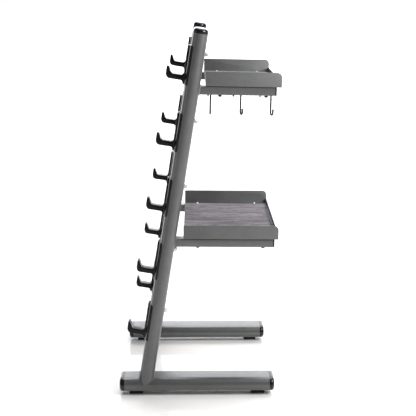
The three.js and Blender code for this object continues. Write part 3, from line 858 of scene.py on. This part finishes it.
def bracket_mesh():
    """Shell, the plate proud of it with its bolt recess, and the J-hook, all with eased edges."""
    height = BRACKET_ABOVE_TIP + BRACKET_BELOW_TIP
    middle = Matrix.Translation((0, 0, (BRACKET_ABOVE_TIP - BRACKET_BELOW_TIP) / 2))
    reach, over = 0.1, 0.01

    shell = sharp_slab("hook_bracket", shell_section(), -BRACKET_BELOW_TIP, BRACKET_ABOVE_TIP)
    outer = OVAL_RADIUS + GAP + BRACKET_SHELL
    width = OVAL_FLAT + 2 * math.sqrt(outer**2 - BRACKET_RETURN**2) - SHELL_TRIM
    front = rounded_box(width, height, BRACKET_CORNER)
    crop = turned(sharp_slab("crop", front, -reach, reach), X_Z_Y)
    crop.transform(middle)
    shell = bevelled(combined(shell, ("INTERSECT", crop)), BRACKET_EDGE, 2)

    face = rounded_box(PLATE_WIDTH, height, PLATE_CORNER, 0, 8)
    plate = turned(rounded_slab("plate", face, PLATE_ROOT, BRACKET_FACE, PLATE_EDGE), X_Z_Y)
    plate.transform(middle)

    half = HOOK_WIDTH / 2
    hook = turned(rounded_slab("hook", hook_outline(), -half, half, HOOK_EDGE), YZX)
    floor = BRACKET_FACE - RECESS_DEPTH
    bolt = BRACKET_BOLT_ABOVE_TIP
    recess = rod("recess", RECESS_RADIUS, floor, BRACKET_FACE + over, bolt)
    hole = rod("hole", BRACKET_BOLT["radius"] + GAP, 0, BRACKET_FACE, bolt)
    return combined(
        shell,
        ("UNION", plate),
        ("UNION", hook),
        ("DIFFERENCE", recess),
        ("DIFFERENCE", hole),
    )


# ---- fasteners ---------------------------------------------------------------------------


def thread(radius, low, high, pitch):
    """Lathe profile of a thread's crests and roots, from low to high."""
    count = max(1, int((high - low) / pitch))
    step = (high - low) / count
    root = radius - 0.6 * pitch
    profile = [(root, low)]
    for i in range(count):
        profile.append((radius, low + step * (i + 0.5)))
        profile.append((root, low + step * (i + 1)))
    return profile


def screw_mesh(bolt, grip):
    """Button-head socket screw: head up from z = 0, shank and thread down through the grip."""
    bottom = -grip - bolt["washer_height"] - bolt["nut_height"] - bolt["end"]
    head, height = bolt["head_radius"], bolt["head_height"]
    flat = 0.45 * head
    rim = 0.0003
    steps = 9
    profile = thread(bolt["radius"], bottom, -grip, bolt["pitch"])
    profile += [(bolt["radius"], -grip + 0.001), (bolt["radius"], 0.0), (head - rim, 0.0)]
    for i in range(steps):
        angle = math.pi / 2 * i / steps
        radius = flat + (head - flat) * math.cos(angle)
        profile.append((radius, rim + (height - rim) * math.sin(angle)))
    profile.append((flat, height))
    body = lathe("screw", profile)
    six = hexagon_cut(bolt["socket_across"], 1.0, 6)
    socket = sharp_slab("socket", six, height * 0.4, height + 0.001)
    return combined(body, ("DIFFERENCE", socket))


def washer_mesh(bolt, grip):
    outer, inner = bolt["washer_radius"], bolt["radius"] + 0.0003
    top, bottom = -grip, -grip - bolt["washer_height"]
    edge = 0.0003
    profile = [
        (inner, top),
        (outer - edge, top),
        (outer, top - edge),
        (outer, bottom + edge),
        (outer - edge, bottom),
        (inner, bottom),
    ]
    return skin("washer", levels([(circle(r, 40), z) for r, z in profile]), wrap=True)


def nut_mesh(bolt, grip):
    """Hexagon nut with chamfered corners and a plain bore, chamfered at both mouths."""
    top = -grip - bolt["washer_height"]
    bottom = top - bolt["nut_height"]
    across = bolt["nut_across"]
    corner = across / math.sqrt(3)
    face = 0.47 * across
    drop = (corner - face) * math.tan(math.radians(30))
    steps = 4
    sections = []
    for i in range(steps + 1):
        share = i / steps
        limit = face + share * (corner - face)
        sections.append((hexagon_cut(across, limit), bottom + share * drop))
    upper = [(points, top - (z - bottom)) for points, z in reversed(sections)]
    bore = circle(bolt["radius"] + 0.0002, 48)
    mouth = circle(bolt["radius"] + 0.0008, 48)
    depth = 0.0008
    inner = [(mouth, top), (bore, top - depth), (bore, bottom + depth), (mouth, bottom)]
    return skin("nut", levels(sections + upper + inner), wrap=True)


def fastener(node, meshes, place, nut_slot="zinc_fastener"):
    """Screw, washer and nut standing for one CAD bolt."""
    piece(f"{node}_screw", meshes[0], "zinc_fastener", place, replaces=[node])
    piece(f"{node}_washer", meshes[1], nut_slot, place)
    piece(f"{node}_nut", meshes[2], nut_slot, place)


def fastener_meshes(bolt, grip):
    return screw_mesh(bolt, grip), washer_mesh(bolt, grip), nut_mesh(bolt, grip)


def brackets():
    mesh = bracket_mesh()
    head = BRACKET_FACE - RECESS_DEPTH + GAP
    bolts = fastener_meshes(BRACKET_BOLT, head + OVAL_RADIUS + GAP)
    for side, sign in SIDES.items():
        for number in range(1, HOOK_COUNT + 1):
            tip = upright_frame(sign * SIDE_X) @ Matrix.Translation((0, 0, hook_tip(number)))
            node = f"hook_bracket_{side}_{number}"
            piece(f"{node}_moulding", mesh, "bracket_plastic", tip, replaces=[node])
            place = tip @ Matrix.Translation((0, -head, BRACKET_BOLT_ABOVE_TIP))
            place = place @ Matrix.Rotation(math.pi / 2, 4, "X")
            fastener(f"bracket_bolt_{side}_{number}", bolts, place)


# ---- cross tubes -------------------------------------------------------------------------


def cross_ring(outline, sign):
    """An outline in Y and Z carried along X to the upright's half-round inner side."""
    ring = []
    for y, z in outline:
        reach = SIDE_X - OVAL_FLAT / 2 - math.sqrt((OVAL_RADIUS + GAP) ** 2 - y * y)
        ring.append((sign * reach, y, z))
    return ring


def cross_tubes():
    outer = rounded_box(ARM_HEIGHT, ARM_WIDTH, ARM_CORNER)
    inner = rounded_box(ARM_HEIGHT, ARM_WIDTH, ARM_CORNER, ARM_WALL)
    rings = [cross_ring(outer, 1), cross_ring(outer, -1), cross_ring(inner, -1), cross_ring(inner, 1)]
    tube = skin("cross_tube", rings, wrap=True)
    grown = rounded_box(ARM_HEIGHT + WELD_GROWTH, ARM_WIDTH + WELD_GROWTH, ARM_CORNER)
    beads = {side: weld_bead("cross_weld", cross_ring(grown, sign)) for side, sign in SIDES.items()}
    for name, height in CROSS_TUBES.items():
        place = upright_frame(0) @ Matrix.Translation((0, 0, height))
        node = f"{name}_cross_tube"
        piece(f"{node}_steel", tube, "frame_paint", place, replaces=[node])
        for side, bead in beads.items():
            piece(f"{name}_cross_weld_{side}", bead, "frame_paint", place)


# ---- tray arms ---------------------------------------------------------------------------


def arm_start(tier, z):
    """Where an arm's surface at a height in its tier's frame meets the upright's rear face."""
    to_upright = upright_frame(0).inverted() @ tier_frame(tier)
    target = OVAL_RADIUS + GAP
    return (target - to_upright[1][2] * z - to_upright[1][3]) / to_upright[1][1]


def arm_outline(inset=0.0):
    return [(x, z - ARM_HEIGHT / 2) for x, z in rounded_box(ARM_WIDTH, ARM_HEIGHT, ARM_CORNER, inset)]


def arm_mesh(tier):
    rings = []
    for inset, end in ((0.0, "start"), (0.0, "end"), (ARM_WALL, "end"), (ARM_WALL, "start")):
        ring = []
        for x, z in arm_outline(inset):
            ring.append((x, arm_start(tier, z) if end == "start" else ARM_END_Y, z))
        rings.append(ring)
    return skin("tray_arm", rings, wrap=True)


def plug_mesh():
    """Pressed-in end plug: a cushioned flange outside the tube and a ribbed plug inside."""
    inside = ARM_WALL + 0.0002
    proud = inside + PLUG_RIB_HEIGHT
    profile = [(inside + 0.0008, -PLUG_DEPTH), (inside, -PLUG_DEPTH + 0.001)]
    for i in range(PLUG_RIBS):
        rib = -PLUG_DEPTH + 0.003 + i * PLUG_RIB_PITCH
        profile += [
            (inside, rib),
            (proud, rib + 0.0008),
            (proud, rib + 0.003),
            (inside, rib + 0.0038),
        ]
    flush = 0.0003
    profile += [(inside, GAP), (flush, GAP)]
    steps = 5
    for i in range(steps + 1):
        angle = math.pi / 2 * i / steps
        inset = flush + PLUG_EDGE * (1 - math.cos(angle))
        profile.append((inset, PLUG_FLANGE - PLUG_EDGE * (1 - math.sin(angle))))
    rings = []
    for inset, depth in profile:
        rings.append([(x, ARM_END_Y + depth, z) for x, z in arm_outline(inset)])
    return skin("arm_plug", rings)


def arm_weld(tier):
    line = []
    for x, z in rounded_box(ARM_WIDTH + WELD_GROWTH, ARM_HEIGHT + WELD_GROWTH, ARM_CORNER):
        height = z - ARM_HEIGHT / 2
        line.append((x, arm_start(tier, height) + WELD_LIFT, height))
    return weld_bead("arm_weld", line)


# ---- trays and mats ----------------------------------------------------------------------


def tray_section():
    """Floor and side lips as one U in X and Z, with its underside at z = GAP."""
    outer = TRAY_WIDTH / 2
    top = GAP + SIDE_LIP
    centre = (outer - BEND, GAP + BEND)
    inner = BEND - SHEET
    quarter = math.pi / 2
    right = arc(*centre, BEND, -quarter, 0, 6) + [(outer, top), (outer - SHEET, top)]
    right += arc(*centre, inner, 0, -quarter, 4)
    left = [(-x, z) for x, z in reversed(right)]
    return right + left


def rear_lip_section(rear):
    """Rear edge of the floor turned up into the low rear lip, in Y and Z."""
    centre = (rear - BEND, GAP + BEND)
    quarter = math.pi / 2
    start = rear - BEND - CORNER_SLIT - 0.001
    points = [(start, GAP)]
    points += arc(*centre, BEND, -quarter, 0, 6)
    points += [(rear, GAP + REAR_LIP), (rear - SHEET, GAP + REAR_LIP)]
    points += arc(*centre, BEND - SHEET, 0, -quarter, 4)
    points += [(start, GAP + SHEET)]
    return points


def lip_cutter(edge, radius, sign):
    """Everything outside a side lip's rounded upper corner."""
    top = GAP + SIDE_LIP
    over = 0.002
    centre = edge - sign * radius
    start = 0 if sign > 0 else math.pi
    outline = [(edge + sign * over, top + over), (edge + sign * over, top - radius)]
    outline += arc(centre, top - radius, radius, start, math.pi / 2, 12)
    outline += [(centre, top + over)]
    slab = sharp_slab("lip_cutter", anticlockwise(outline), -TRAY_WIDTH, TRAY_WIDTH)
    return turned(slab, YZX)


def tray_mesh(tier):
    front, rear = tier["front"], tier["rear"]
    clear = TRAY_WIDTH / 2 - BEND - CORNER_SLIT
    over = 0.001
    body = turned(sharp_slab("tray", tray_section(), -rear, -front), X_Z_Y)
    low_y, high_y = rear - BEND - CORNER_SLIT, rear + over
    low_z, high_z = GAP - over, GAP + BEND + over
    slot_outline = [(low_y, low_z), (high_y, low_z), (high_y, high_z), (low_y, high_z)]
    half = TRAY_WIDTH / 2 - BEND
    slot = turned(sharp_slab("slot", slot_outline, -half, half), YZX)
    lip = turned(sharp_slab("rear_lip", rear_lip_section(rear), -clear, clear), YZX)
    bent = combined(
        body,
        ("DIFFERENCE", slot),
        ("UNION", lip),
        ("DIFFERENCE", lip_cutter(rear, LIP_CORNER, 1)),
        ("DIFFERENCE", lip_cutter(front, FRONT_CORNER, -1)),
    )
    return bevelled(bent, SHEET_EDGE, 2, 50)


def mat_mesh(tier):
    """Mat with fine ribs along Y, its underside at z = 0."""
    front = tier["front"] + MAT_INSET
    rear = tier["rear"] - BEND - MAT_INSET
    half = MAT_WIDTH / 2
    count = int(MAT_WIDTH / MAT_RIB_PITCH)
    pitch = MAT_WIDTH / count
    root = MAT_THICKNESS - MAT_RIB_HEIGHT
    rib = ((0.2, 0.0), (0.34, 0.75), (0.5, 1.0), (0.66, 0.75), (0.8, 0.0))
    outline = [(-half, 0.0), (-half, root)]
    for i in range(count):
        x = -half + pitch * i
        outline += [(x + pitch * share, root + MAT_RIB_HEIGHT * rise) for share, rise in rib]
    outline += [(half, root), (half, 0.0)]
    return turned(sharp_slab("mat", anticlockwise(outline), -rear, -front), X_Z_Y)


# ---- swivel hooks ------------------------------------------------------------------------


def wire_line():
    """Centre line of the wire in X and Z: down, round and up to the tip."""
    level = -ARM_HEIGHT - WIRE_DROP + WIRE_RADIUS + WIRE_BEND
    top = -ARM_HEIGHT - 0.001
    straight = 12
    points = [(0.0, top + (level - top) * i / straight) for i in range(straight)]
    points += arc(WIRE_BEND, level, WIRE_BEND, math.pi, 2 * math.pi, 20)
    points += [(2 * WIRE_BEND, level + WIRE_TIP - WIRE_TIP_ROUND)]
    return [Vector((x, 0, z)) for x, z in points]


def hook_mesh(sides=20):
    """Bent wire with a rounded tip."""
    line = wire_line()
    across = Vector((0, 1, 0))
    rings = []
    for i, point in enumerate(line):
        along = (line[min(i + 1, len(line) - 1)] - line[max(i - 1, 0)]).normalized()
        rings.append((point, along, WIRE_RADIUS))
    end, along, _ = rings[-1]
    flat = 0.45
    for degrees in (25, 50, 72):
        angle = math.radians(degrees)
        radius = WIRE_RADIUS * (flat + (1 - flat) * math.cos(angle))
        rings.append((end + along * WIRE_TIP_ROUND * math.sin(angle), along, radius))
    circles = []
    for point, way, radius in rings:
        normal = across.cross(way)
        ring = []
        for side in range(sides):
            angle = 2 * math.pi * side / sides
            ring.append(point + (normal * math.cos(angle) + across * math.sin(angle)) * radius)
        circles.append(ring)
    return skin("wire_hook", circles)


def collar_mesh():
    top = -ARM_HEIGHT - GAP
    low = top - SWIVEL_COLLAR_HEIGHT
    edge = 0.0005
    radius = SWIVEL_HEAD_RADIUS
    profile = [(radius - edge, low), (radius, low + edge), (radius, top - edge), (radius - edge, top)]
    return lathe("hook_collar", profile)


def swivel_hooks(tier):
    wire, collar = hook_mesh(), collar_mesh()
    for side, sign in SIDES.items():
        for i, (y, degrees) in enumerate(zip(SWIVEL_Y, SWIVEL_TURN[side]), 1):
            turn = math.radians(degrees) if sign > 0 else math.pi - math.radians(degrees)
            place = tier_frame(tier, sign * SIDE_X) @ Matrix.Translation((0, y, 0))
            place = place @ Matrix.Rotation(turn, 4, "Z")
            node = f"swivel_hook_{side}_{i}"
            piece(f"{node}_wire", wire, "hook_wire", place, body=node, replaces=[node])
            piece(f"{node}_collar", collar, "hook_wire", place, body=node)


# ---- tiers -------------------------------------------------------------------------------


def tiers():
    seat = GAP + SHEET + GAP
    bolts = fastener_meshes(TRAY_BOLT, seat + ARM_HEIGHT + GAP)
    plug = plug_mesh()
    for name, tier in TIERS.items():
        middle = tier_frame(tier)
        arm, bead = arm_mesh(tier), arm_weld(tier)
        piece(f"{name}_tray_sheet", tray_mesh(tier), "tray_paint", middle, replaces=[f"{name}_tray"])
        on_floor = middle @ Matrix.Translation((0, 0, seat))
        piece(f"{name}_mat_ribbed", mat_mesh(tier), "tray_mat", on_floor, replaces=[f"{name}_mat"])
        for side, sign in SIDES.items():
            place = tier_frame(tier, sign * SIDE_X)
            piece(f"{name}_arm_{side}_tube", arm, "frame_paint", place, replaces=[f"{name}_arm_{side}"])
            piece(f"{name}_arm_{side}_plug", plug, "cap_plastic", place)
            piece(f"{name}_arm_{side}_weld", bead, "frame_paint", place)
            for end, y in zip(("front", "rear"), tier["bolts"]):
                at = place @ Matrix.Translation((0, y, seat))
                # The washers and nuts under the arms take the dark wire finish: painted shade for the
                # shadow they sit in.
                fastener(f"{name}_tray_bolt_{end}_{side}", bolts, at, "hook_wire")


# ---- floor, light and camera -------------------------------------------------------------

FLOOR_SIZE = 200.0
FLOOR_DROP = 0.0002
FILL_LIGHT = (0.08, 0.32)
BACK_LIGHT = (2.4, 0.0)


def floor():
    half = FLOOR_SIZE / 2
    mesh = bpy.data.meshes.new("floor")
    corners = [(-half, -half, 0), (half, -half, 0), (half, half, 0), (-half, half, 0)]
    mesh.from_pydata(corners, [], [(0, 1, 2, 3)])
    finish = Finish("floor_white")
    finish.set(base_color=(0.86, 0.85, 0.835, 1.0), ior=1.4)
    mottle = finish.noise(3, detail=3)
    finish.rough(finish.ranged(mottle, 0.3, 0.7, 0.05, 0.08))
    mesh.materials.append(finish.material)
    item = bpy.data.objects.new("floor", mesh)
    bpy.context.scene.collection.objects.link(item)
    item.location.z = -FLOOR_DROP


def lamp(name, kind, energy, colour, source):
    """A light that shines from the direction of a source, at the origin until it is moved."""
    light = bpy.data.lights.new(name, kind)
    light.energy = energy
    light.color = colour
    item = bpy.data.objects.new(name, light)
    bpy.context.scene.collection.objects.link(item)
    item.rotation_euler = Vector(source).to_track_quat("Z", "Y").to_euler()
    return item


def surroundings():
    """White for the camera; as light, brightest from -X and dimmer from the hook side."""
    world = bpy.data.worlds.new("studio")
    world.use_nodes = True
    tree = world.node_tree
    split = tree.nodes.new("ShaderNodeSeparateXYZ")
    direction = tree.nodes.new("ShaderNodeTexCoord").outputs["Generated"]
    tree.links.new(direction, split.inputs["Vector"])
    total = tree.nodes.new("ShaderNodeMath")
    across = map_range(tree, split.outputs["Y"], (-0.9, 0.7, *FILL_LIGHT), "SMOOTHSTEP")
    behind = map_range(tree, split.outputs["X"], (-0.9, -0.3, *BACK_LIGHT), "SMOOTHSTEP")
    tree.links.new(across, total.inputs[0])
    tree.links.new(behind, total.inputs[1])
    fill = tree.nodes["Background"]
    fill.inputs["Color"].default_value = (0.95, 0.96, 1.0, 1.0)
    tree.links.new(total.outputs["Value"], fill.inputs["Strength"])
    white = tree.nodes.new("ShaderNodeBackground")
    white.inputs["Color"].default_value = (1.0, 1.0, 1.0, 1.0)
    mix = tree.nodes.new("ShaderNodeMixShader")
    seen = tree.nodes.new("ShaderNodeLightPath").outputs["Is Camera Ray"]
    tree.links.new(seen, mix.inputs["Fac"])
    tree.links.new(fill.outputs["Background"], mix.inputs[1])
    tree.links.new(white.outputs["Background"], mix.inputs[2])
    tree.links.new(mix.outputs["Shader"], tree.nodes["World Output"].inputs["Surface"])
    bpy.context.scene.world = world


def studio():
    bpy.context.scene.view_settings.view_transform = "Standard"
    surroundings()
    overhead = lamp("overhead", "SUN", 2.3, (1.0, 0.99, 0.97), (-0.4, 0.15, 1.0))
    overhead.data.angle = math.radians(45)
    key = lamp("softbox", "AREA", 96, (1.0, 1.0, 1.0), (1.2, 1.6, 0.95))
    key.location = (1.5, 1.8, 2.28)
    key.data.size = 1.3
    strip = lamp("strip_light", "AREA", 8, (0.96, 0.97, 1.0), (0.9, -2.6, 0.1))
    strip.location = (0.9, -2.7, 1.2)
    strip.data.shape = "RECTANGLE"
    strip.data.size = 0.25
    strip.data.size_y = 2.2


def camera():
    data = bpy.data.cameras.new("camera")
    data.lens = CAMERA_LENS
    data.sensor_width = 36.0
    item = bpy.data.objects.new("camera", data)
    bpy.context.scene.collection.objects.link(item)
    item.location = CAMERA_PLACE
    level = math.cos(CAMERA_PITCH)
    look = Vector((-math.cos(CAMERA_YAW) * level, math.sin(CAMERA_YAW) * level, -math.sin(CAMERA_PITCH)))
    item.rotation_euler = look.to_track_quat("-Z", "Y").to_euler()
    bpy.context.scene.camera = item


# ---- the rack ----------------------------------------------------------------------------

camera()
feet()
uprights()
brackets()
cross_tubes()
tiers()
swivel_hooks(TIERS["upper"])
floor()
studio()
